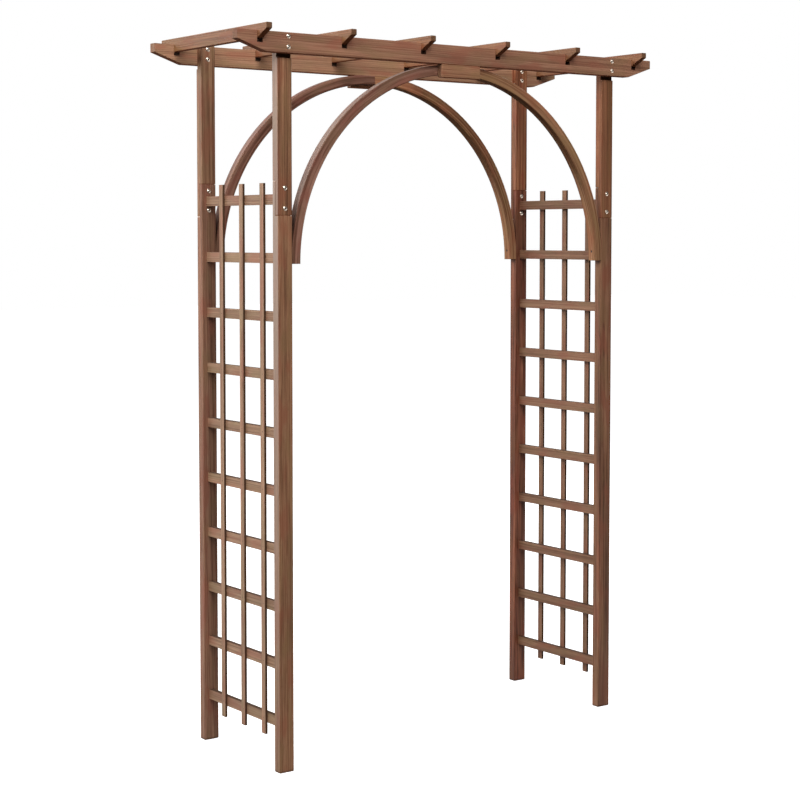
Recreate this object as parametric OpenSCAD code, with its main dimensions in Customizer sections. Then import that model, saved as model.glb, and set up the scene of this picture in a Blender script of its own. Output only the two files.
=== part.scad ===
// Garden arch trellis: four two-piece posts, two beams, six rafters,
// two round arches and a lattice at each side. Millimetres, +Z up.
// The front is -Y. The origin is on the ground, midway between the posts.

/* [Overall] */
// Height from the ground to the top of the rafters
height = 2134; // [1950:1:2600]
// Clear width between the left and the right posts
passage_w = 1186; // [950:1:1450]
// Clear depth between the front and the rear posts
side_d = 398; // [320:1:600]

/* [Posts] */
// Width of a post, across the passage
post_w = 48; // [38:0.5:90]
// Depth of a post, front to back
post_d = 29; // [22:0.5:60]
// Height of the lower end of the lap between a post's two pieces
lap_z = 1603; // [1520:1:1700]
// Length of that lap
lap_len = 98; // [80:1:140]
// Size of the chamfer along the edges of all but the lattice bars
ease = 1.5; // [0.5:0.1:3]

/* [Beams] */
// Length of a beam past the outer face of a post
beam_over = 144; // [110:1:220]
// Depth of a beam, top to bottom
beam_h = 58; // [50:0.5:90]
// Thickness of a beam
beam_t = 28; // [18:0.5:40]
// Upright part of a beam's end
beam_tip = 26; // [15:0.5:40]
// Length of the sloping cut under a beam's end
beam_slope = 96; // [40:1:110]
// Depth to which a beam is let into its posts
housing_d = 6.5; // [1:0.5:8]
// Height of the open part of that housing, under the beam
housing_drop = 12; // [0:0.5:20]

/* [Rafters] */
// Distance from the end of a beam to the middle of the first rafter
rafter_inset = 74; // [40:1:100]
// Length of a rafter past the outer face of a beam
rafter_over = 48.5; // [20:0.5:90]
// Depth of a rafter, top to bottom
rafter_h = 40; // [34:0.5:60]
// Thickness of a rafter
rafter_t = 18; // [12:0.5:30]
// Height of the rafters above the tops of the beams
rafter_rise = 17.5; // [5:0.5:30]
// Upright part of a rafter's end
rafter_tip = 15.5; // [8:0.5:25]
// Length of the sloping cut under a rafter's end
rafter_slope = 51; // [10:0.5:60]
// Height of the open part of a beam's notch, under the rafter
notch_drop = 11; // [0:0.5:15]
// Clearance at each side of a rafter in its notch
notch_gap = 0.2; // [0:0.05:0.5]

/* [Arches] */
// Width of an arch member, across its curve
arch_w = 31; // [20:0.5:60]
// Wood planed off it where it bears on the post and on the beam
arch_flat = 3; // [0.5:0.1:4]
// Length of the block that ties the two members of an arch
crown_len = 148; // [90:1:260]
// Depth of that block below the beam
crown_h = 39; // [32:0.5:60]

/* [Lattices] */
// Number of rails at each side
rail_n = 10; // [4:1:10]
// Distance from one rail to the next
rail_pitch = 167.5; // [120:0.5:168]
// Height of the lowest rail above the ground
rail_z = 127; // [60:1:130]
// Depth of a rail, top to bottom
rail_h = 29.5; // [20:0.5:45]
// Thickness of a rail
rail_t = 15; // [8:0.5:20]
// Number of upright slats at each side
slat_n = 3; // [1:1:4]
// Distance from one slat to the next
slat_pitch = 114; // [60:0.5:115]
// Distance of the middle slat in front of the middle of the side
slat_shift = 12; // [0:0.5:15]
// Width of a slat
slat_w = 21; // [12:0.5:35]
// Thickness of a slat
slat_t = 7; // [4:0.5:12]
// Distance of the slats behind the outer face of the posts
slat_inset = 8.5; // [0:0.5:12]
// Length of a slat past the lowest and the highest rail
slat_over = 33; // [0:0.5:60]

/* [Bolt holes] */
// Diameter of the holes for the bolts
bolt_d = 6; // [4:0.5:8]
// Distance of the lap's bolts from its ends
lap_bolt = 20; // [15:0.5:30]
// Distance between the two bolts of a post and a beam
beam_bolt_pitch = 30; // [20:0.5:34]
// Distance of the upper one below the top of the beam
beam_bolt_top = 11; // [9:0.5:15]

/* [Screw holes] */
// Diameter of the holes for the screws, in the arch feet and in the rafters
screw_d = 4.5; // [3:0.1:6]
// Diameter of their countersinks
screw_head = 8; // [6.5:0.1:10]
// Height of the arch's screw above its foot
foot_screw = 29; // [15:1:45]

/* [Hidden] */
$fn = 48;
over = 1;                                   // what a cut runs past a face

post_x = passage_w / 2;                     // inner face of a right post
post_y = side_d / 2;                        // front face of a rear post
outer_x = post_x + post_w;
outer_y = post_y + post_d;

beam_top = height - rafter_rise;
beam_z = beam_top - beam_h;
beam_y = outer_y - housing_d;               // inner face of a beam
beam_proud = beam_t - housing_d;
beam_len = 2 * (outer_x + beam_over);

rafter_n = 6;                               // one node each
rafter_pitch = (beam_len - 2 * rafter_inset) / (rafter_n - 1);
rafter_len = 2 * (beam_y + beam_t + rafter_over);
rafter_z = height - rafter_h;
notch_z = rafter_z - notch_drop;

arch_r = post_x + arch_flat;                // outer radius, before the planing
arch_z = beam_z - post_x;                   // its feet
foot_x = sqrt(pow(arch_r - arch_w, 2) - pow(foot_screw, 2));    // its inner face, at the screw

bolt_x = post_x + post_w / 2;
lap_bolts = [lap_z + lap_bolt, lap_z + lap_len - lap_bolt];
beam_bolts = [beam_top - beam_bolt_top, beam_top - beam_bolt_top - beam_bolt_pitch];

rail_x = outer_x - slat_inset - slat_t;     // outer face of the rails
slat_z = rail_z - slat_over;
slat_len = (rail_n - 1) * rail_pitch + rail_h + 2 * slat_over;

fir = "#8c6247";
fir_dark = "#7a523b";
fir_light = "#a07a60";

// Outline of a rectangle with chamfered corners, from the origin
function eased(w, d) = [
    [ease, 0], [w - ease, 0], [w, ease], [w, d - ease],
    [w - ease, d], [ease, d], [0, d - ease], [0, ease]];

// What the chamfers at both ends of a bar take away, along one side of its outline
module edge_cuts(from, to, thick)
    translate(from)
        rotate([90, 0, 90 + atan2(to[1] - from[1], to[0] - from[0])])
            translate([0, 0, -over])
                linear_extrude(norm(to - from) + 2 * over) {
                    polygon([
                        [-over, -over], [ease + over, -over], [-over, ease + over]]);
                    polygon([
                        [-over, thick + over], [-over, thick - ease - over],
                        [ease + over, thick + over]]);
                }

// A bar of a convex outline, with a chamfer around both of its ends
module board(outline, thick)
    difference() {
        linear_extrude(thick) polygon(outline);
        for (i = [0 : len(outline) - 1])
            edge_cuts(outline[i], outline[(i + 1) % len(outline)], thick);
    }

// Everything is drawn at the right or the rear, and mirrored to the other side
module side(right) mirror([right ? 0 : 1, 0, 0]) children();
module row(rear) mirror([0, rear ? 0 : 1, 0]) children();

module bolt_holes(heights, reach)
    for (z = heights)
        translate([bolt_x, post_y - over, z])
            rotate([-90, 0, 0]) cylinder(d = bolt_d, h = reach + 2 * over);

// The lower piece stands on the ground and keeps the inner half of the lap
module lower_post() {
    color(fir)
    difference() {
        translate([post_x, post_y, 0]) {
            board(eased(post_w, post_d), lap_z);
            board(eased(post_w, post_d / 2), lap_z + lap_len);
        }
        bolt_holes(lap_bolts, post_d);
    }
}

// The upper piece keeps the outer half of the lap, and is housed for the beam
module upper_post() {
    color(fir)
    difference() {
        translate([post_x, post_y, lap_z]) {
            translate([0, 0, lap_len])
                board(eased(post_w, post_d), beam_top - lap_z - lap_len);
            translate([0, post_d / 2, 0])
                board(eased(post_w, post_d / 2), beam_top - lap_z);
        }
        translate([post_x - over, beam_y, beam_z - housing_drop])
            cube([post_w + 2 * over, post_d, beam_h + housing_drop + over]);
        bolt_holes(lap_bolts, post_d);
        bolt_holes(beam_bolts, post_d);
    }
}

// A countersunk hole through a board that is thick deep, its mouth at the origin, along +Z
module screw_hole(thick) {
    translate([0, 0, -over]) {
        cylinder(d = screw_d, h = thick + 2 * over);
        cylinder(d1 = screw_head + 2 * over, d2 = screw_d, h = (screw_head - screw_d) / 2 + over);
    }
}

// A planed bar along X, both ends cut up from below: an upright tip, then a slope
module tapered_bar(len, thick, h, tip, slope)
    intersection() {
        translate([-len / 2, 0, 0])
            rotate([90, 0, 90]) linear_extrude(len) polygon(eased(thick, h));
        translate([0, thick + over, 0])
            rotate([90, 0, 0]) linear_extrude(thick + 2 * over) polygon([
                [-len / 2, h + over], [-len / 2, h - tip], [slope - len / 2, 0],
                [len / 2 - slope, 0], [len / 2, h - tip], [len / 2, h + over]]);
    }

function rafter_x(i) = (i - (rafter_n - 1) / 2) * rafter_pitch;

module beam() {
    color(fir_light)
    difference() {
        translate([0, beam_y, beam_z])
            tapered_bar(beam_len, beam_t, beam_h, beam_tip, beam_slope);
        for (i = [0 : rafter_n - 1])
            translate([rafter_x(i) - rafter_t / 2 - notch_gap, beam_y - over, notch_z])
                cube([rafter_t + 2 * notch_gap, beam_t + 2 * over, beam_h]);
        for (right = [false, true])
            side(right) bolt_holes(beam_bolts, post_d + beam_t);
    }
}

// A rafter is screwed down into the middle of each beam
module rafter(i) {
    color(fir_light)
    difference() {
        translate([rafter_x(i) + rafter_t / 2, 0, rafter_z])
            rotate([0, 0, 90])
                tapered_bar(rafter_len, rafter_t, rafter_h, rafter_tip, rafter_slope);
        for (rear = [false, true])
            row(rear)
                translate([rafter_x(i), beam_y + beam_t / 2, height])
                    rotate([180, 0, 0]) screw_hole(rafter_h);
    }
}

// A quarter ring in the plane of the posts, planed flat at its foot and its crown,
// and screwed to the post through its foot
module arch_member() {
    color(fir_dark)
    difference() {
        intersection() {
            translate([0, outer_y, arch_z])
                rotate([90, 0, 0])
                    rotate_extrude(angle = 90, $fn = 192)
                        translate([arch_r - arch_w, 0]) polygon(eased(arch_w, post_d));
            translate([0, post_y - over, arch_z])
                cube([post_x, post_d + 2 * over, post_x]);
        }
        translate([foot_x, post_y + post_d / 2, arch_z + foot_screw])
            rotate([0, 90, 0]) screw_hole(arch_w);
    }
}

// The block hangs under the beam, on the outer face of both arch members
module crown_block() {
    color(fir_dark)
    translate([-crown_len / 2, outer_y, beam_z - crown_h])
        rotate([90, 0, 90])
            board(eased(beam_proud, crown_h), crown_len);
}

// Rails between the posts, with the slats on their outer faces
module lattice() {
    color(fir_light) {
        for (i = [0 : rail_n - 1])
            translate([rail_x - rail_t, post_y, rail_z + i * rail_pitch])
                rotate([90, 0, 0]) linear_extrude(side_d) square([rail_t, rail_h]);
        for (i = [0 : slat_n - 1])
            translate([rail_x, (i - (slat_n - 1) / 2) * slat_pitch - slat_shift - slat_w / 2, slat_z])
                linear_extrude(slat_len) square([slat_t, slat_w]);
    }
}

side(false) row(false) lower_post();  // front_left_lower_post
side(true) row(false) lower_post();  // front_right_lower_post
side(false) row(true) lower_post();  // rear_left_lower_post
side(true) row(true) lower_post();  // rear_right_lower_post
side(false) row(false) upper_post();  // front_left_upper_post
side(true) row(false) upper_post();  // front_right_upper_post
side(false) row(true) upper_post();  // rear_left_upper_post
side(true) row(true) upper_post();  // rear_right_upper_post
row(false) beam();  // front_beam
row(true) beam();  // rear_beam
rafter(0);  // rafter_1
rafter(1);  // rafter_2
rafter(2);  // rafter_3
rafter(3);  // rafter_4
rafter(4);  // rafter_5
rafter(5);  // rafter_6
side(false) row(false) arch_member();  // front_left_arch
side(true) row(false) arch_member();  // front_right_arch
side(false) row(true) arch_member();  // rear_left_arch
side(true) row(true) arch_member();  // rear_right_arch
row(false) crown_block();  // front_crown_block
row(true) crown_block();  // rear_crown_block
side(false) lattice();  // left_lattice
side(true) lattice();  // right_lattice
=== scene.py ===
import math

import bpy
import numpy as np
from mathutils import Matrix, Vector


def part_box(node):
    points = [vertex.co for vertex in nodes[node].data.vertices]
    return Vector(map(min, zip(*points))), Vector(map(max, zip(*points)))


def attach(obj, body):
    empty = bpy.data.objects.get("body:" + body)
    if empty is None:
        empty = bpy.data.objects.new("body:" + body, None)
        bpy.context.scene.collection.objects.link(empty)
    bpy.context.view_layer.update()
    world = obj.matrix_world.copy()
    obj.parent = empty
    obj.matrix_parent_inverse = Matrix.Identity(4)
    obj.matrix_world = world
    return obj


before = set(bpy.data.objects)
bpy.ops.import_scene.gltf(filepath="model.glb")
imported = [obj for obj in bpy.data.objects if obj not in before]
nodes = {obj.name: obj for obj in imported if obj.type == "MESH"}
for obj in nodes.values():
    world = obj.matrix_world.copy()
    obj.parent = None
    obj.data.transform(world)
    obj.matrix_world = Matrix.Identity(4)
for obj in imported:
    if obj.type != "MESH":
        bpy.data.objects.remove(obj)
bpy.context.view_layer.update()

# ---------------------------------------------------------------------------
# Posts. Each is two lengths of planed fir, half-lapped about 1.65 m up, with
# the arrises taken off, then stained a warm brown. The grain runs up the post,
# so the year rings show as streaks on its faces.
# ---------------------------------------------------------------------------


def group_with(name, inputs, outputs):
    """An empty shader group with the named sockets: (name, socket type, default)."""
    tree = bpy.data.node_groups.new(name, "ShaderNodeTree")
    for label, kind, value in inputs:
        socket = tree.interface.new_socket(label, in_out="INPUT", socket_type=kind)
        if value is not None:
            socket.default_value = value
    for label, kind in outputs:
        tree.interface.new_socket(label, in_out="OUTPUT", socket_type=kind)
    given = tree.nodes.new("NodeGroupInput").outputs
    return tree, given, tree.nodes.new("NodeGroupOutput").inputs


def put(tree, kind, settings=None, **wires):
    """Adds a node. A wire named in0, in1 ... or by its socket takes a value or an output."""
    node = tree.nodes.new(kind)
    for key, value in (settings or {}).items():
        setattr(node, key, value)
    for key, value in wires.items():
        by_number = key[:2] == "in" and key[2:].isdigit()
        socket = node.inputs[int(key[2:]) if by_number else key.replace("_", " ")]
        if isinstance(value, bpy.types.NodeSocket):
            tree.links.new(value, socket)
        else:
            socket.default_value = value
    return node


def maths(tree, operation, a, b=0.5, c=0.5):
    """One arithmetic step on single numbers."""
    return put(tree, "ShaderNodeMath", {"operation": operation}, in0=a, in1=b, in2=c).outputs[0]


def vector_maths(tree, operation, a, b=(0, 0, 0)):
    """One arithmetic step on vectors."""
    node = put(tree, "ShaderNodeVectorMath", {"operation": operation}, in0=a, in1=b)
    return node.outputs["Value" if operation in ("DOT_PRODUCT", "LENGTH") else "Vector"]


def smooth_step(tree, value, low, high):
    """0 at low, 1 at high, and an eased slope between them, whichever is the larger."""
    first, last, flip = (low, high, False) if low < high else (high, low, True)
    node = put(tree, "ShaderNodeMapRange", {"interpolation_type": "SMOOTHSTEP"}, Value=value,
               From_Min=first, From_Max=last, To_Min=float(flip), To_Max=float(not flip))
    return node.outputs["Result"]


def noise(tree, place, scale=1.0, detail=2.0, roughness=0.5):
    """Smooth noise from 0 to 1, with that many cells to the unit."""
    return put(tree, "ShaderNodeTexNoise", Vector=place, Scale=scale, Detail=detail,
               Roughness=roughness).outputs["Fac"]


def drawn_out(tree, log, along, across, start=0.0):
    """The place in the log, scaled to so many cells to the metre along and across the grain."""
    scaled = vector_maths(tree, "MULTIPLY", log, (along, across, across))
    return vector_maths(tree, "ADD", scaled, (start, start, start))


# Wood as a solid. Log is the place in the tree's log in metres, with X along the
# grain and the pith on the X axis: year rings are circles round it that wander
# slowly, and streaks, fibres and pores are noise drawn out along X.
tree, given, taken = group_with(
    "sawn_fir",
    [("Log", "NodeSocketVector", None), ("Ring Width", "NodeSocketFloat", 0.006),
     ("Wander", "NodeSocketFloat", 0.006)],
    [("Rings", "NodeSocketFloat"), ("Streaks", "NodeSocketFloat"), ("Fibres", "NodeSocketFloat"),
     ("Pores", "NodeSocketFloat"), ("Tone", "NodeSocketFloat"), ("Redness", "NodeSocketFloat")])
slow = drawn_out(tree, given["Log"], along=1.6, across=14)
sway = put(tree, "ShaderNodeTexNoise", Vector=slow).outputs["Color"]
sway = vector_maths(tree, "SUBTRACT", sway, (0.5, 0.5, 0.5))
sway = put(tree, "ShaderNodeVectorMath", {"operation": "SCALE"}, in0=sway,
           Scale=given["Wander"]).outputs[0]
swayed = vector_maths(tree, "ADD", given["Log"], sway)
radius = vector_maths(tree, "LENGTH", vector_maths(tree, "MULTIPLY", swayed, (0, 1, 1)))
uneven = noise(tree, drawn_out(tree, given["Log"], along=3, across=60))
ring = maths(tree, "ADD", maths(tree, "DIVIDE", radius, given["Ring Width"]),
             maths(tree, "MULTIPLY", uneven, 0.6))
# Late wood darkens slowly through a year's growth, stops short at its end, and is stronger in some years
age = maths(tree, "FRACT", ring)
late_wood = maths(tree, "MULTIPLY", smooth_step(tree, age, 0.3, 0.9), smooth_step(tree, age, 1.0, 0.93))
year = put(tree, "ShaderNodeTexWhiteNoise", {"noise_dimensions": "1D"}, W=maths(tree, "FLOOR", ring))
strength = maths(tree, "MULTIPLY_ADD", year.outputs["Value"], 0.7, 0.4)
tree.links.new(maths(tree, "MULTIPLY", late_wood, strength), taken["Rings"])
flecks = noise(tree, drawn_out(tree, given["Log"], along=90, across=1500), detail=1.0)
tree.links.new(smooth_step(tree, flecks, 0.62, 0.78), taken["Pores"])
for output, along, across, start, finer in (
        ("Streaks", 1.4, 165, 3.1, {"detail": 3.0}),
        ("Fibres", 9, 420, 0.0, {"detail": 4.0, "roughness": 0.65}),
        ("Tone", 1.7, 26, 5.2, {}),
        ("Redness", 9, 34, 7.3, {"detail": 1.0})):
    cells = drawn_out(tree, given["Log"], along, across, start)
    tree.links.new(noise(tree, cells, **finer), taken[output])

# The arrises are drawn darker. The normal is bent over an arris
# by Radius, and the mask is how far the bent normal leans from the face.
tree, given, taken = group_with(
    "dark_arris", [("Radius", "NodeSocketFloat", 0.0018)],
    [("Arris", "NodeSocketFloat"), ("Normal", "NodeSocketVector")])
bent = put(tree, "ShaderNodeBevel", {"samples": 6}, Radius=given["Radius"]).outputs[0]
face = put(tree, "ShaderNodeNewGeometry").outputs["True Normal"]
lean = maths(tree, "SUBTRACT", 1.0, vector_maths(tree, "DOT_PRODUCT", bent, face))
tree.links.new(smooth_step(tree, lean, 0.01, 0.16), taken["Arris"])
tree.links.new(bent, taken["Normal"])

# Which way a face looks: level ones up or down, undersides down, and end grain
# along the Grain, where the fibres are cut across.
tree, given, taken = group_with(
    "level_faces", [("Grain", "NodeSocketVector", (1, 0, 0))],
    [("Level", "NodeSocketFloat"), ("Underside", "NodeSocketFloat"),
     ("End Grain", "NodeSocketFloat")])
face = put(tree, "ShaderNodeNewGeometry").outputs["True Normal"]
upward = vector_maths(tree, "DOT_PRODUCT", face, (0, 0, 1))
tree.links.new(smooth_step(tree, maths(tree, "ABSOLUTE", upward), 0.4, 0.8), taken["Level"])
tree.links.new(smooth_step(tree, upward, -0.3, -0.6), taken["Underside"])
across = maths(tree, "ABSOLUTE", vector_maths(tree, "DOT_PRODUCT", face, given["Grain"]))
tree.links.new(smooth_step(tree, across, 0.7, 0.98), taken["End Grain"])

# A pale greyish colour painted as sheen, as if lit.
PAINTED_SHEEN = (0.430, 0.348, 0.295, 1)
# A pale colour painted as light seen through the laps' shoulder slits.
PAINTED_SLIT_LIGHT = (0.700, 0.560, 0.460, 1)


def stained_fir(name, log, grain, tint, figure, painted_sheen=None, sawn=None, painted_slit_light=None, sanded=False):
    """Brown stained fir. log(tree) gives the place in the log, grain(tree) or a vector its direction.

    The colour goes from early to late wood by the ring mask. Then layers are laid on it in
    turn: dark and pale streaks, dark and pale fibres, red and green patches, the board's broad
    tone, a painted sheen, pores, end grain, painted shade on the undersides, painted shade,
    arrises and painted light. Figure is how strong the rings and streaks are. The sheen argument
    is the direction of the faces that get a pale painted sheen, as if lit, its share at the
    ground and how much more there is for each metre up. The shade argument, a function of the
    tree, masks recesses, edges and places between parts that are painted dark as shade and made
    rough, and the light argument what gets a pale hairline painted as light. The level faces are
    dull with dust. A sanded piece has no dust, less raised grain, less gloss and a darker
    painted shade on its underside.
    """
    material = bpy.data.materials.new(name)
    material.use_nodes = True
    tree = material.node_tree
    shader = tree.nodes["Principled BSDF"]
    groups = bpy.data.node_groups
    wood = put(tree, "ShaderNodeGroup", {"node_tree": groups["sawn_fir"]}, Log=log(tree)).outputs
    arris = put(tree, "ShaderNodeGroup", {"node_tree": groups["dark_arris"]}).outputs
    face = put(tree, "ShaderNodeGroup", {"node_tree": groups["level_faces"]},
               Grain=grain(tree) if callable(grain) else grain).outputs

    def stain(r, g, b):
        return (r * tint[0], g * tint[1], b * tint[2], 1)

    def mixed(cover, below, above, kind="MIX"):
        node = put(tree, "ShaderNodeMix", {"data_type": "RGBA", "blend_type": kind}, in0=cover,
                   in6=below, in7=above)
        return node.outputs[2]

    def share(mask, amount):
        return maths(tree, "MULTIPLY", mask, amount)

    early_wood, late_wood = stain(0.340, 0.176, 0.096), stain(0.150, 0.066, 0.031)
    colour = mixed(share(wood["Rings"], figure), early_wood, late_wood)
    for mask, start, full, amount, stained in (
            ("Streaks", 0.50, 0.66, 0.85 * figure, (0.130, 0.056, 0.026)),
            ("Streaks", 0.47, 0.33, 0.65 * figure, (0.450, 0.250, 0.145)),
            ("Fibres", 0.50, 0.72, 0.60, (0.150, 0.066, 0.032)),
            ("Fibres", 0.46, 0.28, 0.45, (0.430, 0.245, 0.145)),
            ("Redness", 0.51, 0.68, 0.60, (0.300, 0.112, 0.062)),
            ("Redness", 0.49, 0.32, 0.50, (0.262, 0.158, 0.074))):
        cover = share(smooth_step(tree, wood[mask], start, full), amount)
        colour = mixed(cover, colour, stain(*stained))
    tone = put(tree, "ShaderNodeMapRange", Value=wood["Tone"], From_Min=0.25, From_Max=0.75,
               To_Min=1 - 0.32 * figure, To_Max=1 + 0.28 * figure).outputs[0]
    tone = put(tree, "ShaderNodeCombineColor", in0=tone, in1=tone, in2=tone).outputs[0]
    colour = mixed(1.0, colour, tone, "MULTIPLY")
    # A pale painted sheen on the faces that look one way, as if the lamp fell there, more of it higher
    # up.
    if painted_sheen:
        direction, at_ground, more_per_metre = painted_sheen
        normal = put(tree, "ShaderNodeNewGeometry").outputs["True Normal"]
        pale = smooth_step(tree, vector_maths(tree, "DOT_PRODUCT", normal, direction), 0.6, 0.95)
        place = put(tree, "ShaderNodeTexCoord").outputs["Object"]
        up = put(tree, "ShaderNodeSeparateXYZ", in0=place).outputs[2]
        sheen_share = maths(tree, "MULTIPLY_ADD", up, more_per_metre, at_ground)
        colour = mixed(maths(tree, "MULTIPLY", pale, sheen_share), colour, PAINTED_SHEEN)
    colour = mixed(share(wood["Pores"], 0.35), colour, stain(0.090, 0.040, 0.020))
    colour = mixed(share(face["End Grain"], 0.50), colour, stain(0.125, 0.076, 0.047))
    # Undersides are painted dark as shade, darker still on sanded pieces.
    if sanded:
        colour = mixed(share(face["Underside"], 0.60), colour, stain(0.050, 0.018, 0.006))
    else:
        colour = mixed(share(face["Underside"], 0.75), colour, stain(0.180, 0.045, 0.006))
    # Painted shade: the masked recesses, edges and places between parts are painted dark.
    if sawn:
        colour = mixed(share(sawn(tree), 0.85), colour, stain(0.040, 0.014, 0.005))
    colour = mixed(share(arris["Arris"], 0.50), colour, stain(0.090, 0.038, 0.018))
    # A pale hairline painted as light, where the laps' shoulder slits let light through.
    if painted_slit_light:
        colour = mixed(share(painted_slit_light(tree), 0.90), colour, PAINTED_SLIT_LIGHT)
    tree.links.new(colour, shader.inputs["Base Color"])

    rough = maths(tree, "MULTIPLY_ADD", wood["Fibres"], 0.20, 0.42)
    rough = maths(tree, "MULTIPLY_ADD", face["End Grain"], 0.25, rough)
    dull = [face["Underside" if sanded else "Level"]] + ([sawn(tree)] if sawn else [])
    for mask in dull:
        rough = maths(tree, "MAXIMUM", rough, share(mask, 0.95))
    tree.links.new(rough, shader.inputs["Roughness"])
    shader.inputs["Specular IOR Level"].default_value = 0.10 if sanded else 0.25

    height = maths(tree, "MULTIPLY_ADD", wood["Rings"], 0.5, share(wood["Fibres"], -0.6))
    height = maths(tree, "MULTIPLY_ADD", wood["Pores"], -0.5, height)
    raised_grain = put(tree, "ShaderNodeBump", Strength=0.15 if sanded else 0.5, Distance=0.0006,
                       Height=height, Normal=arris["Normal"])
    tree.links.new(raised_grain.outputs[0], shader.inputs["Normal"])
    return material


random_board = np.random.default_rng(7)
TURN_TO_GRAIN = {"x": (0.0, 0.0, 0.0), "y": (0.0, 0.0, -90.0), "z": (0.0, 90.0, 0.0)}
GRAIN = {"x": (1, 0, 0), "y": (0, 1, 0), "z": (0, 0, 1)}
NEAR_PITH, FAR_FROM_PITH = 0.05, 0.12
HALF_LOG = 3


def cut_from_log(turn, furthest_tilt=1.2):
    """A board's place in a log: turned by turn, set at random off the pith and tilted, in degrees."""
    angle = random_board.uniform(0, 2 * math.pi)
    away = random_board.uniform(NEAR_PITH, FAR_FROM_PITH)
    start = (random_board.uniform(-HALF_LOG, HALF_LOG), away * math.cos(angle), away * math.sin(angle))
    tilt = random_board.uniform(-furthest_tilt, furthest_tilt, 3)

    def log(tree):
        place = put(tree, "ShaderNodeTexCoord").outputs["Object"]
        rotation = [math.radians(t + small) for t, small in zip(turn, tilt)]
        return put(tree, "ShaderNodeMapping", {"vector_type": "POINT"}, Vector=place,
                   Rotation=rotation, Location=start).outputs[0]

    return log


def dress(node, material):
    """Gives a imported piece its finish."""
    mesh = nodes[node].data
    mesh.materials.clear()
    mesh.materials.append(material)


# The four posts stand alike round the middle, so one of them gives the places of
# all. A lap's faces lie in the middle of a post's depth, and the housing's face
# lies against the beam.
mm = 0.001
lower_low, lower_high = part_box("rear_right_lower_post")
upper_low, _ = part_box("rear_right_upper_post")
beam_low, beam_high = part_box("rear_beam")
POST_MIDDLE, POST_HALF = (lower_low.x + lower_high.x) / 2, (lower_high.x - lower_low.x) / 2
POST_INSIDE, POST_OUTSIDE = lower_low.y, lower_high.y
POST_CENTRE = (POST_INSIDE + POST_OUTSIDE) / 2
LAP_FOOT, LAP_TOP = upper_low.z, lower_high.z
HOUSING_FACE = beam_low.y
# Width and half height of the pale hairline painted as light at the laps' shoulder slits.
SLIT_LIGHT_WIDTH, SLIT_LIGHT_HALF_HEIGHT = 11 * mm, 1.3 * mm


def place_and_normal(tree):
    """The point's coordinates, and the three parts of its face's normal without their signs."""
    place = put(tree, "ShaderNodeTexCoord").outputs["Object"]
    facing = put(tree, "ShaderNodeNewGeometry").outputs["True Normal"]
    facing = vector_maths(tree, "ABSOLUTE", facing)
    x, y, z = put(tree, "ShaderNodeSeparateXYZ", in0=place).outputs
    return (x, y, z), put(tree, "ShaderNodeSeparateXYZ", in0=facing).outputs


def signed_normal(tree):
    """The three parts of the face's normal."""
    facing = put(tree, "ShaderNodeNewGeometry").outputs["True Normal"]
    return put(tree, "ShaderNodeSeparateXYZ", in0=facing).outputs


def housing_mask(tree):
    """1 on the sunk face of the housing that takes the beam, set back from the post's own face."""
    (_, y, z), (_, facing_y, _) = place_and_normal(tree)
    depth = maths(tree, "ABSOLUTE", y)
    sunk = maths(tree, "MULTIPLY", maths(tree, "LESS_THAN", depth, HOUSING_FACE + mm),
                 maths(tree, "GREATER_THAN", depth, HOUSING_FACE - mm))
    high = maths(tree, "GREATER_THAN", z, LAP_TOP)
    return maths(tree, "MULTIPLY", maths(tree, "MULTIPLY", sunk, high), facing_y)


def painted_slit_light_mask(tree):
    """1 on a hair's breadth at the lap's shoulders, where a pale line is painted as the light seen
    through the shoulder's slit and caught on its edges.

    The outer half of the post has its shoulder at the foot of the lap, the inner half at the
    top. On the front the painted end is the right one, on the back the left one, and on the sides
    the half behind the lap's face.
    """
    (x, y, z), (_, facing_y, _) = place_and_normal(tree)
    normal = signed_normal(tree)
    outer = maths(tree, "GREATER_THAN", maths(tree, "ABSOLUTE", y), POST_CENTRE)
    shoulder = maths(tree, "MULTIPLY_ADD", outer, LAP_FOOT - LAP_TOP, LAP_TOP)
    off = maths(tree, "ABSOLUTE", maths(tree, "SUBTRACT", z, shoulder))
    close = maths(tree, "LESS_THAN", off, SLIT_LIGHT_HALF_HEIGHT)
    middle = maths(tree, "MULTIPLY", maths(tree, "SIGN", x), POST_MIDDLE)
    from_middle = maths(tree, "SUBTRACT", x, middle)
    at_end = maths(tree, "LESS_THAN", maths(tree, "MULTIPLY", from_middle, normal[1]),
                   SLIT_LIGHT_WIDTH - POST_HALF)
    lap_face = maths(tree, "MULTIPLY", maths(tree, "SIGN", y), POST_CENTRE)
    behind = maths(tree, "SUBTRACT", y, lap_face)
    at_back = maths(tree, "LESS_THAN", maths(tree, "MULTIPLY", behind, normal[0]), 0.0)
    on_front = maths(tree, "GREATER_THAN", facing_y, 0.5)
    painted_slit_light = put(tree, "ShaderNodeMix", in0=on_front, in2=at_back, in3=at_end).outputs[0]
    return maths(tree, "MULTIPLY", close, painted_slit_light)


def painted_housing_shade_and_dark_foot_mask(tree):
    """Painted shade on the housing's face, and the foot's last millimetres, drawn darker."""
    (_, _, z), _ = place_and_normal(tree)
    damp = maths(tree, "MULTIPLY", smooth_step(tree, z, 9 * mm, 1 * mm), 0.7)
    return maths(tree, "MAXIMUM", housing_mask(tree), damp)


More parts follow.
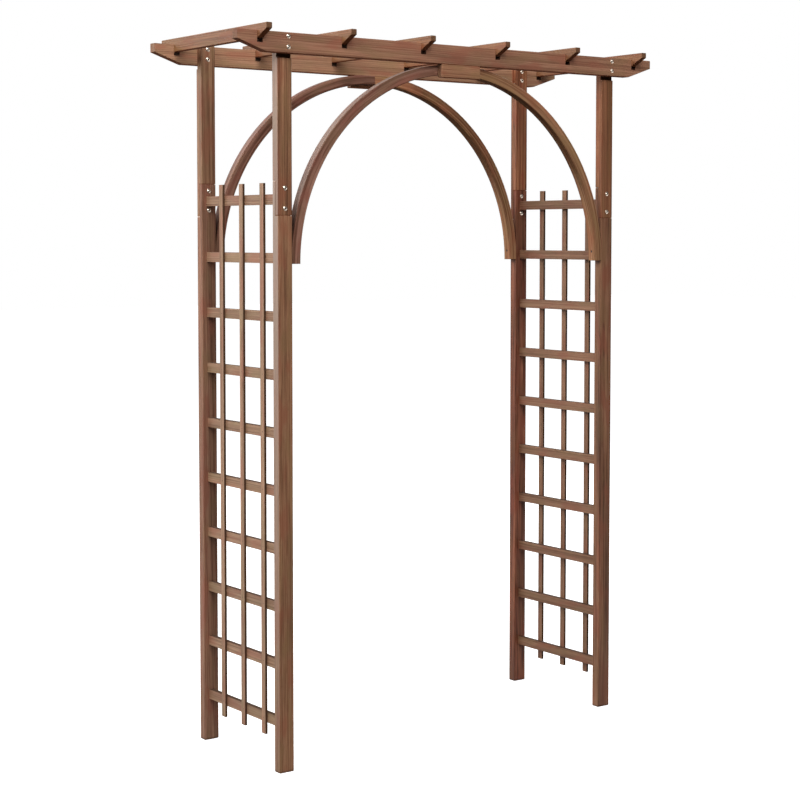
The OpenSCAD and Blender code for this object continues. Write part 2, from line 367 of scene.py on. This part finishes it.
# Every post was picked from another board, so each has its own tint and figure. The front left
# posts also get a pale painted sheen on their left faces, more of it higher up.
POSTS = {
    "front_left_lower_post": ((1.04, 0.98, 0.94), 0.7, ((-1, 0, 0), 0.10, 0.33)),
    "front_left_upper_post": ((0.97, 0.88, 0.82), 1.0, ((-1, 0, 0), 0.10, 0.20)),
    "rear_left_lower_post": ((0.93, 0.88, 0.98), 0.8, None),
    "rear_left_upper_post": ((1.04, 1.04, 1.06), 0.9, None),
    "front_right_lower_post": ((0.86, 0.76, 0.76), 1.2, None),
    "front_right_upper_post": ((1.03, 0.81, 0.71), 1.0, None),
    "rear_right_lower_post": ((0.76, 0.51, 0.50), 1.4, None),
    "rear_right_upper_post": ((1.02, 0.75, 0.66), 1.3, None),
}
for name, (tint, figure, painted_sheen) in POSTS.items():
    dress(name, stained_fir(name + "_fir", cut_from_log(TURN_TO_GRAIN["z"]), GRAIN["z"], tint,
                            figure, painted_sheen, sawn=painted_housing_shade_and_dark_foot_mask, painted_slit_light=painted_slit_light_mask))

# ---------------------------------------------------------------------------
# Lap bolts. Two zinc plated M6 bolts clamp each lap, with flanged button heads
# at the front, driven by a 4 mm key, and a washer and a nut behind.
# ---------------------------------------------------------------------------
BOLT_SIDES = 24
BOLT_ANGLES = np.arange(BOLT_SIDES) * (2 * math.pi / BOLT_SIDES)
ROUND = np.ones(BOLT_SIDES)
SHARP_FROM = math.radians(35)


def hexagon(across_flats):
    """Distance from the middle to a hexagon's side at each angle: half its width over the cosine."""
    from_flat = (BOLT_ANGLES + math.pi / 6) % (math.pi / 3) - math.pi / 6
    return across_flats / 2 / np.cos(from_flat)


def turned(rings, seat, axis, ring_shaped=False, socket_rings=0):
    """A closed surface round an axis, from rings of (height, radius), each a number or one an angle.

    A point of ring k at the angle t is seat + height * axis + radius * (cos t * u + sin t * v),
    where u and v are square to the axis. The ends close in a middle point each, or the last ring
    joins the first. The faces up to ring socket_rings take a piece's second material. It gives
    the points, the four-sided and the three-sided faces, and each face's material.
    """
    sides = max(np.size(part) for ring in rings for part in ring)
    turn = np.arange(sides) * (2 * math.pi / sides)
    heights = np.array([np.broadcast_to(h, sides) for h, _ in rings], float)
    radii = np.array([np.broadcast_to(r, sides) for _, r in rings], float)
    axis = np.array(axis, float)
    v = np.array((0.0, 1.0, 0.0) if abs(axis[2]) > 0.5 else (0.0, 0.0, 1.0))
    u = np.cross(v, axis)
    outward = np.cos(turn)[:, None] * u + np.sin(turn)[:, None] * v
    points = (heights[..., None] * axis + radii[..., None] * outward).reshape(-1, 3)
    count = len(rings)
    step = np.arange(count if ring_shaped else count - 1)[:, None]
    side = np.arange(sides)[None, :]
    after, below = (side + 1) % sides, (step + 1) % count
    quads = np.stack([step * sides + side, below * sides + side,
                      below * sides + after, step * sides + after], -1).reshape(-1, 4)
    ends = np.empty((0, 3), int)
    finish = (np.arange(len(quads)) < socket_rings * sides).astype(int)
    if not ring_shaped:
        middles = np.stack([heights[0].mean() * axis, heights[-1].mean() * axis])
        first_middle, last_middle = np.full((2, sides), [[len(points)], [len(points) + 1]])
        points = np.concatenate([points, middles])
        last_ring = (count - 1) * sides
        ends = np.concatenate([np.stack([first_middle, side[0], after[0]], -1),
                               np.stack([last_ring + side[0], last_middle, last_ring + after[0]], -1)])
        finish = np.concatenate([finish, np.full(sides, int(socket_rings > 0)), np.zeros(sides, int)])
    return points + np.array(seat, float), quads, ends, finish


def make_piece(name, shells, materials):
    """One mesh of closed shells, smooth but for its sharp edges, on the part's only body."""
    starts = np.cumsum([0] + [len(points) for points, *_ in shells])
    faces = [face for (_, quads, ends, _), start in zip(shells, starts)
             for face in (quads + start).tolist() + (ends + start).tolist()]
    mesh = bpy.data.meshes.new(name)
    mesh.from_pydata(np.concatenate([points for points, *_ in shells]).tolist(), [], faces)
    mesh.polygons.foreach_set("use_smooth", np.ones(len(mesh.polygons), bool))
    mesh.set_sharp_from_angle(angle=SHARP_FROM)
    for material in materials:
        mesh.materials.append(material)
    finish = np.concatenate([shell[-1] for shell in shells])
    mesh.polygons.foreach_set("material_index", finish.astype(np.int32))
    piece = bpy.data.objects.new(name, mesh)
    bpy.context.scene.collection.objects.link(piece)
    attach(piece, "root")


SHANK = 2.9 * mm
KEY = hexagon(4 * mm)
NUT = hexagon(10 * mm)
WASHER_THICK, NUT_THICK = 1.2 * mm, 5 * mm
THREAD_PITCH, THREAD_DEPTH = 1 * mm, 0.35 * mm
THREADED, PAST_NUT = 14 * mm, 3 * mm


def bolt_shells(head, axis, grip):
    """Head, shank, washer and nut of a bolt that clamps grip of wood, seated at head, facing axis.

    The thread is a ridge whose radius rises and falls once a pitch along the bolt and once a
    turn round it.
    """
    washer, nut = -grip, -grip - WASHER_THICK
    nut_end = nut - NUT_THICK
    end = nut_end - PAST_NUT
    bolt = [(1.2 * mm, KEY * 0.98), (3.1 * mm, KEY)]
    bolt += [(height * mm, radius * mm * ROUND) for height, radius in (
        (3.3, 2.5), (3.2, 3.1), (2.9, 3.9), (2.3, 4.6), (1.6, 5.1), (1.15, 5.4), (1.0, 5.8),
        (0.85, 6.4), (0.6, 6.7), (0.2, 6.7), (0.0, 6.5))]
    bolt += [(0.0, SHANK * ROUND), (end + THREADED + 0.2 * mm, SHANK * ROUND)]
    along = np.linspace(end + THREADED, end + 0.5 * mm, 56)
    ridge = np.abs((along[:, None] / THREAD_PITCH - BOLT_ANGLES / (2 * math.pi)) % 1 - 0.5) * 2
    bolt += [(a, SHANK - THREAD_DEPTH + THREAD_DEPTH * r) for a, r in zip(along, ridge)]
    bolt += [(end, 2.2 * mm * ROUND)]
    ring = [(height, radius * mm * ROUND) for height, radius in (
        (washer, 3.2), (washer, 5.8), (washer - 0.2 * mm, 6.0), (washer - 1.0 * mm, 6.0),
        (nut, 5.8), (nut, 3.2))]
    small, middle, large = [np.minimum(NUT, limit * mm) for limit in (4.9, 5.35, 5.9)]
    block = [(nut, 3.0 * mm * ROUND), (nut, small), (nut - 0.25 * mm, middle),
             (nut - 0.55 * mm, large), (nut - 4.45 * mm, large), (nut - 4.75 * mm, middle),
             (nut_end, small), (nut_end, 3.4 * mm * ROUND), (nut - 4.6 * mm, 3.0 * mm * ROUND)]
    return [turned(bolt, head, axis, socket_rings=1), turned(ring, head, axis, ring_shaped=True),
            turned(block, head, axis, ring_shaped=True)]


def clouded_metal(name, bright, dull, metallic, rough):
    """Metal that goes from bright to dull in clouds a few millimetres wide, finely marked."""
    material = bpy.data.materials.new(name)
    material.use_nodes = True
    tree = material.node_tree
    shader = tree.nodes["Principled BSDF"]
    place = put(tree, "ShaderNodeTexCoord").outputs["Object"]
    cloud = noise(tree, place, scale=420.0, detail=4.0)
    dullness = smooth_step(tree, cloud, 0.42, 0.72)
    colour = put(tree, "ShaderNodeMix", {"data_type": "RGBA"}, in0=dullness, in6=(*bright, 1),
                 in7=(*dull, 1))
    tree.links.new(colour.outputs[2], shader.inputs["Base Color"])
    tree.links.new(maths(tree, "MULTIPLY_ADD", cloud, 0.25, rough), shader.inputs["Roughness"])
    marks = put(tree, "ShaderNodeBump", Strength=0.25, Distance=0.0001,
                Height=noise(tree, place, scale=2500.0, detail=3.0))
    tree.links.new(marks.outputs[0], shader.inputs["Normal"])
    shader.inputs["Metallic"].default_value = metallic
    return material


zinc = clouded_metal("zinc_plate", (0.95, 0.82, 0.69), (0.70, 0.58, 0.47), 1.0, 0.16)
# The sockets' walls and floors are painted dark as shade.
socket_painted_shade = clouded_metal("socket_painted_shade", (0.05, 0.035, 0.025), (0.02, 0.014, 0.01), 0.3, 0.5)


def bolts_through_posts(kind, outside, levels):
    """The bolts of one kind, their heads to the front, at these heights through every post.

    Each clamps all the wood that lies between outside and the inner face of the post.
    """
    for row, head_y in (("front", -outside), ("rear", POST_INSIDE)):
        for side, x in (("left", -POST_MIDDLE), ("right", POST_MIDDLE)):
            shells = [shell for z in levels
                      for shell in bolt_shells((x, head_y, z), (0, -1, 0), outside - POST_INSIDE)]
            make_piece(f"{row}_{side}_{kind}_bolts", shells, (zinc, socket_painted_shade))


FROM_LAP_END = 20 * mm
bolts_through_posts("lap", POST_OUTSIDE, (LAP_FOOT + FROM_LAP_END, LAP_TOP - FROM_LAP_END))

# ---------------------------------------------------------------------------
# Lattices. Ten rails butt between the posts of each side, and three thin
# slats are nailed upright on their outer faces. Rails and slats are ripped
# from narrow fir, so each has its own tone and its own run of grain.
# ---------------------------------------------------------------------------
lattice_low, lattice_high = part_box("right_lattice")
SLAT_FACE, SLAT_THICK = lattice_high.x, 7 * mm
RAIL_FACE = SLAT_FACE - SLAT_THICK
SLAT_BELOW_RAILS = 33 * mm
LOWEST_RAIL = lattice_low.z + SLAT_BELOW_RAILS
RAIL_PITCH, RAIL_HEIGHT = 167.5 * mm, 29.5 * mm
SLAT_PITCH, SLAT_SHIFT = 114 * mm, -12 * mm
FIRST_SLAT_NUMBER = 40.0


def slat_mask(tree):
    """1 on a slat and 0 on a rail: a slat is whatever lies outside the rails' outer face.

    The point is taken half a millimetre inside its own face, so that the rails' face is a rail's.
    """
    place = put(tree, "ShaderNodeTexCoord").outputs["Object"]
    normal = put(tree, "ShaderNodeNewGeometry").outputs["True Normal"]
    skin = vector_maths(tree, "MULTIPLY", normal, (mm / 2, mm / 2, mm / 2))
    inside = vector_maths(tree, "SUBTRACT", place, skin)
    x = put(tree, "ShaderNodeSeparateXYZ", in0=inside).outputs[0]
    return maths(tree, "GREATER_THAN", maths(tree, "ABSOLUTE", x), RAIL_FACE)


def bar_choice(tree, on_rail, on_slat):
    """The first vector on rails, the second on slats."""
    return put(tree, "ShaderNodeMix", {"data_type": "VECTOR"}, in0=slat_mask(tree), in4=on_rail,
               in5=on_slat).outputs[1]


def bar_number(tree, position, first, pitch, ahead):
    """Counts bars from 0 at first. The count goes up the share ahead of a pitch before each bar."""
    pitches = maths(tree, "MULTIPLY_ADD", position, 1 / pitch, ahead - first / pitch)
    return maths(tree, "FLOOR", pitches)


def bar_log(first_log):
    """Turns the grain along each bar, and moves every bar to a place of its own in the log."""
    def log(tree):
        place = put(tree, "ShaderNodeTexCoord").outputs["Object"]
        x, y, z = put(tree, "ShaderNodeSeparateXYZ", in0=place).outputs
        along_rail = put(tree, "ShaderNodeCombineXYZ", in0=y, in1=x, in2=z).outputs[0]
        along_slat = put(tree, "ShaderNodeCombineXYZ", in0=z, in1=x, in2=y).outputs[0]
        rail = bar_number(tree, z, LOWEST_RAIL, RAIL_PITCH, 0.3)
        slat = bar_number(tree, y, SLAT_SHIFT, SLAT_PITCH, 0.5)
        slat = maths(tree, "ADD", slat, FIRST_SLAT_NUMBER)
        is_slat = slat_mask(tree)
        is_rail = maths(tree, "SUBTRACT", 1.0, is_slat)
        number = maths(tree, "ADD", maths(tree, "MULTIPLY", is_slat, slat),
                       maths(tree, "MULTIPLY", is_rail, rail))
        shuffled = put(tree, "ShaderNodeTexWhiteNoise", {"noise_dimensions": "1D"},
                       W=maths(tree, "ADD", number, first_log)).outputs["Color"]
        spread = vector_maths(tree, "MULTIPLY", shuffled, (3.0, 0.12, 0.12))
        return vector_maths(tree, "ADD", bar_choice(tree, along_rail, along_slat), spread)
    return log


def bar_grain(tree):
    """Along Y on rails and up on slats."""
    return bar_choice(tree, GRAIN["y"], GRAIN["z"])


def bar_painted_shade_mask(tree):
    """Painted shade on the bars: their ends, edges, tops and undersides, all not facing
    outward, are painted dark and made rough.
    """
    _, (facing_x, _, _) = place_and_normal(tree)
    return maths(tree, "LESS_THAN", facing_x, 0.5)


for name, first_log, tint in (("left_lattice", 3.0, (1.17, 1.32, 1.48)),
                              ("right_lattice", 77.0, (0.87, 0.86, 0.90))):
    dress(name, stained_fir(name + "_fir", bar_log(first_log), bar_grain, tint, 0.6,
                            sawn=bar_painted_shade_mask))

# Small dark brads, one through each slat into each rail
dark_coat = clouded_metal("dark_screw_coat", (0.060, 0.046, 0.036), (0.030, 0.022, 0.018), 0.6, 0.35)
BRAD_SIDES = 10
BRAD = [(height * mm, radius * mm * np.ones(BRAD_SIDES)) for height, radius in (
    (0.45, 0.5), (0.30, 1.0), (0.05, 1.3), (-0.5, 1.2), (-0.8, 0.7), (-15, 0.6))]
for side, out in (("left", -1), ("right", 1)):
    brads = [turned(BRAD, (out * SLAT_FACE, SLAT_SHIFT + slat * SLAT_PITCH,
                           LOWEST_RAIL + RAIL_HEIGHT / 2 + rail * RAIL_PITCH), (out, 0, 0))
             for slat in (-1, 0, 1) for rail in range(10)]
    make_piece(f"{side}_lattice_brads", brads, (dark_coat,))

# ---------------------------------------------------------------------------
# Beams. One long board stands on edge in a housing at each pair of posts,
# tapered underneath at both ends, with six notches cut for the rafters. Two
# bolts go through the beam and the post, with their nuts behind.
# ---------------------------------------------------------------------------
rafter_low, rafter_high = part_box("rafter_1")
RAFTER_HALF = (rafter_high.x - rafter_low.x) / 2
FIRST_RAFTER = rafter_low.x + RAFTER_HALF
RAFTER_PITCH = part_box("rafter_2")[0].x - rafter_low.x
NOTCH_HALF, NOTCH_FLOOR = RAFTER_HALF + 0.5 * mm, rafter_low.z - 12 * mm


def notch_painted_shade_mask(tree):
    """1 on each notch's cheeks and floor, which are painted dark as shade: near a rafter and high
    enough, not on a beam's face.
    """
    (x, _, z), (_, facing_y, _) = place_and_normal(tree)
    from_first = maths(tree, "SUBTRACT", x, FIRST_RAFTER)
    from_rafter = maths(tree, "PINGPONG", from_first, RAFTER_PITCH / 2)
    near = maths(tree, "LESS_THAN", from_rafter, NOTCH_HALF)
    high = maths(tree, "GREATER_THAN", z, NOTCH_FLOOR)
    inward = maths(tree, "LESS_THAN", facing_y, 0.5)
    return maths(tree, "MULTIPLY", maths(tree, "MULTIPLY", near, high), inward)


# The rear beam's tint is lighter than the front beam's: painted light that makes up for the front beam's
# shade on it.
for name, tint in (("front_beam", (1.09, 1.01, 1.10)), ("rear_beam", (1.32, 1.36, 1.46))):
    dress(name, stained_fir(name + "_fir", cut_from_log(TURN_TO_GRAIN["x"], 0.6), GRAIN["x"],
                            tint, 0.6, sawn=notch_painted_shade_mask))

UPPER_BOLT, LOWER_BOLT = 11 * mm, 41 * mm
bolts_through_posts("beam", beam_high.y, (beam_high.z - UPPER_BOLT, beam_high.z - LOWER_BOLT))

# ---------------------------------------------------------------------------
# Rafters. Six short boards cross the beams in their notches, tapered like
# them, and a countersunk screw goes down through each into either beam.
# ---------------------------------------------------------------------------
for i in range(1, 7):
    brightness = 0.82 - 0.03 * (i % 3)
    tint = (brightness, 0.86 * brightness, 0.72 * brightness)
    dress(f"rafter_{i}", stained_fir(f"rafter_{i}_fir", cut_from_log(TURN_TO_GRAIN["y"], 0.8),
                                     GRAIN["y"], tint, 0.6))

SCREW_SIDES = 48


def screw_shell(mouth, axis, length):
    """A countersunk screw, its flat head just inside the mouth of its hole, facing axis.

    The head's height is lowered inside a cross: within half a wing's width of either of two
    lines through the middle, and deeper towards the middle. Below it the head narrows to the
    shank, which ends in a point.
    """
    turn = np.arange(SCREW_SIDES) * (2 * math.pi / SCREW_SIDES)
    out = np.linspace(0.15, 2.6, 12)
    wing = np.minimum(np.abs(np.sin(turn)), np.abs(np.cos(turn)))[None, :] * out[:, None]
    depth = np.where(wing < 0.5, 1.9 * np.clip(1 - out[:, None] / 2.5, 0, 1), 0.0)
    profile = [(-0.35 - sunk, radius) for sunk, radius in zip(depth, out)]
    profile += [(-0.35, 3.0), (-0.35, 3.5), (-0.45, 3.6), (-2.0, 2.05), (-3.0, 2.0),
                (6 - length / mm, 1.9), (-length / mm, 0.3)]
    rings = [(height * mm, radius * mm * np.ones(SCREW_SIDES)) for height, radius in profile]
    return turned(rings, mouth, axis)


BEAM_MIDDLE = (beam_low.y + beam_high.y) / 2
rafter_screws = [screw_shell((FIRST_RAFTER + i * RAFTER_PITCH, y, rafter_high.z), (0, 0, 1), 70 * mm)
                 for i in range(6) for y in (-BEAM_MIDDLE, BEAM_MIDDLE)]
make_piece("rafter_screws", rafter_screws, (dark_coat,))

# ---------------------------------------------------------------------------
# Arches. Two quarter rings, bent so that the grain follows the curve, make each
# round arch. A countersunk screw holds each foot to its post, and a block under
# the beam ties the two crowns.
# ---------------------------------------------------------------------------
arch_low, arch_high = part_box("rear_right_arch")
ARCH_FOOT, FOOT_THICK = arch_low.z, 28 * mm
INNER_RADIUS = arch_high.x - FOOT_THICK
ARCH_RADIUS = (INNER_RADIUS + arch_high.x) / 2
# Where the painted shade between arch and post starts and where it is full
SHADE_STARTS, SHADE_FULL = arch_high.x - 27 * mm, arch_high.x - 5 * mm


def bent_log():
    """The log bent round the arch: X runs along the curve, Z away from its centre.

    The centre is level with the feet, in the middle of the walkway.
    """
    start = (random_board.uniform(-HALF_LOG, HALF_LOG),
             random_board.uniform(NEAR_PITH, FAR_FROM_PITH),
             random_board.uniform(NEAR_PITH, FAR_FROM_PITH))

    def log(tree):
        (x, y, z), _ = place_and_normal(tree)
        up = maths(tree, "SUBTRACT", z, ARCH_FOOT)
        along = maths(tree, "MULTIPLY", maths(tree, "ARCTAN2", up, x), ARCH_RADIUS)
        from_centre = put(tree, "ShaderNodeCombineXYZ", in0=x, in1=up).outputs[0]
        away = maths(tree, "SUBTRACT", vector_maths(tree, "LENGTH", from_centre), ARCH_RADIUS)
        bent_place = put(tree, "ShaderNodeCombineXYZ", in0=along, in1=y, in2=away).outputs[0]
        return vector_maths(tree, "ADD", bent_place, start)

    return log


def bent_grain(tree):
    """Along the curve: square to the line from the arch's centre, and level with its face."""
    place = put(tree, "ShaderNodeTexCoord").outputs["Object"]
    from_centre = vector_maths(tree, "SUBTRACT", place, (0, 0, ARCH_FOOT))
    from_centre = vector_maths(tree, "MULTIPLY", from_centre, (1, 0, 1))
    along = vector_maths(tree, "CROSS_PRODUCT", from_centre, (0, 1, 0))
    return vector_maths(tree, "NORMALIZE", along)


def arch_post_painted_shade_mask(tree):
    """Painted shade between arch and post: the outer curve, ever more towards the post."""
    (x, _, _), _ = place_and_normal(tree)
    outward = maths(tree, "MULTIPLY", signed_normal(tree)[0], maths(tree, "SIGN", x))
    near_post = smooth_step(tree, maths(tree, "ABSOLUTE", x), SHADE_STARTS, SHADE_FULL)
    return maths(tree, "MULTIPLY", near_post, maths(tree, "GREATER_THAN", outward, 0.5))


for row in ("front", "rear"):
    for side in ("left", "right"):
        name = f"{row}_{side}_arch"
        tint = (0.87, 0.82, 1.03) if side == "left" else (1.28, 1.24, 1.17)
        # The front left arch's outer curve, where it faces up and left, gets a pale painted sheen.
        painted_sheen = ((-0.8, 0, 0.6), 0.38, 0.0) if name == "front_left_arch" else None
        dress(name, stained_fir(name + "_fir", bent_log(), bent_grain, tint, 1.0, painted_sheen,
                                sawn=arch_post_painted_shade_mask, sanded=True))
# The rear crown block's much lighter tint is painted light that makes up for the shade the front beam
# casts on it.
for name, tint in (("front_crown_block", (1.28, 1.18, 1.16)),
                   ("rear_crown_block", (1.9, 1.85, 1.9))):
    dress(name, stained_fir(name + "_fir", cut_from_log(TURN_TO_GRAIN["x"]), GRAIN["x"], tint, 0.6))

# Each screw goes in on the inner curve, this far above the foot's end
FOOT_SCREW = 29 * mm
FOOT_FACE = math.sqrt(INNER_RADIUS ** 2 - FOOT_SCREW ** 2)
foot_screws = [screw_shell((side * FOOT_FACE, y, ARCH_FOOT + FOOT_SCREW), (-side, 0, 0), 50 * mm)
               for side in (-1, 1) for y in (-POST_CENTRE, POST_CENTRE)]
make_piece("arch_foot_screws", foot_screws, (dark_coat,))

# ---------------------------------------------------------------------------
# Floor and light. A pale floor under a white backdrop, with five large soft
# panels: at the left, behind on the left, behind, at the front and at the right.
# ---------------------------------------------------------------------------
FLOOR_HALF = 30
floor_mesh = bpy.data.meshes.new("floor")
floor_mesh.from_pydata([(-FLOOR_HALF, -FLOOR_HALF, 0), (FLOOR_HALF, -FLOOR_HALF, 0),
                        (FLOOR_HALF, FLOOR_HALF, 0), (-FLOOR_HALF, FLOOR_HALF, 0)], [],
                       [(0, 1, 2, 3)])
floor = bpy.data.objects.new("floor", floor_mesh)
bpy.context.scene.collection.objects.link(floor)


def is_seen(tree, place, behind_it, first, last):
    """1 for what the camera sees, and for what metal or glass shows of the backdrop.

    The backdrop is what lies behind the object: along the direction behind_it, it comes up
    between first and last.
    """
    path = put(tree, "ShaderNodeLightPath").outputs
    distance = vector_maths(tree, "DOT_PRODUCT", place, behind_it)
    mirrored = maths(tree, "MAXIMUM", path["Is Glossy Ray"], path["Is Transmission Ray"])
    backdrop = maths(tree, "MULTIPLY", mirrored, smooth_step(tree, distance, first, last))
    return maths(tree, "MAXIMUM", path["Is Camera Ray"], backdrop)


# Near the object the floor glows a little less than white, so that it keeps the shadow
pale = bpy.data.materials.new("pale_floor")
pale.use_nodes = True
tree = pale.node_tree
tree.nodes.remove(tree.nodes["Principled BSDF"])
place = put(tree, "ShaderNodeTexCoord").outputs["Object"]
far_away = smooth_step(tree, vector_maths(tree, "LENGTH", place), 1.5, 6.0)
glow = put(tree, "ShaderNodeEmission", Color=(1, 1, 1, 1),
           Strength=maths(tree, "MULTIPLY_ADD", far_away, 0.28, 0.72))
lit = put(tree, "ShaderNodeBsdfDiffuse", Color=(0.8, 0.8, 0.8, 1))
seen_floor = put(tree, "ShaderNodeAddShader", in0=lit.outputs[0], in1=glow.outputs[0])
dim_floor = put(tree, "ShaderNodeBsdfDiffuse", Color=(0.12, 0.115, 0.11, 1))
floor_look = put(tree, "ShaderNodeMixShader", in0=is_seen(tree, place, (0.6, 0.8, 0), -1.5, 0.5),
                 in1=dim_floor.outputs[0], in2=seen_floor.outputs[0])
tree.links.new(floor_look.outputs[0], tree.nodes["Material Output"].inputs["Surface"])
floor_mesh.materials.append(pale)

world = bpy.data.worlds.new("studio")
bpy.context.scene.world = world
world.use_nodes = True
tree = world.node_tree
tree.nodes.remove(tree.nodes["Background"])
towards = put(tree, "ShaderNodeTexCoord").outputs["Generated"]
room = put(tree, "ShaderNodeBackground", Color=(0.95, 0.97, 1.0, 1), Strength=0.15)
white = put(tree, "ShaderNodeBackground", Color=(1, 1, 1, 1), Strength=1.0)
room_look = put(tree, "ShaderNodeMixShader", in0=is_seen(tree, towards, (-0.2, 0.98, 0), -0.1, 0.3),
                in1=room.outputs[0], in2=white.outputs[0])
tree.links.new(room_look.outputs[0], tree.nodes["World Output"].inputs["Surface"])


def soft_panel(name, place, aim, size, power):
    """A square area lamp at place, facing aim."""
    light = bpy.data.lights.new(name, "AREA")
    light.shape, light.size, light.energy = "SQUARE", size, power
    lamp = bpy.data.objects.new(name, light)
    lamp.location = place
    lamp.rotation_euler = (Vector(aim) - Vector(place)).to_track_quat("-Z", "Y").to_euler()
    lamp.visible_camera = False
    bpy.context.scene.collection.objects.link(lamp)


soft_panel("left_panel", (-4.6, -0.9, 4.2), (0, 0, 1.5), 2.6, 200)
soft_panel("rear_left_panel", (-3.9, 4.6, 3.3), (0, 0, 1.6), 2.2, 70)
soft_panel("rear_panel", (-1.8, 4.6, 5.2), (0, 0, 1.6), 1.8, 140)
soft_panel("front_panel", (-1.6, -4.8, 4.8), (0, 0, 1.4), 2.8, 205)
soft_panel("right_panel", (4.6, 2.6, 3.6), (0, 0, 1.4), 2.2, 130)

# The camera stands at the front left, about eye height, and looks slightly down
LOOKS_DOWN, LOOKS_RIGHT = 3.25, 36.27
lens = bpy.data.cameras.new("camera")
lens.lens, lens.shift_y, lens.clip_end = 80.47, -0.0785, 100
camera = bpy.data.objects.new("camera", lens)
camera.location = (-3.359, -4.515, 1.546)
camera.rotation_euler = (math.radians(90 - LOOKS_DOWN), 0, math.radians(-LOOKS_RIGHT))
bpy.context.scene.collection.objects.link(camera)
bpy.context.scene.camera = camera
bpy.context.scene.view_settings.view_transform = "Standard"
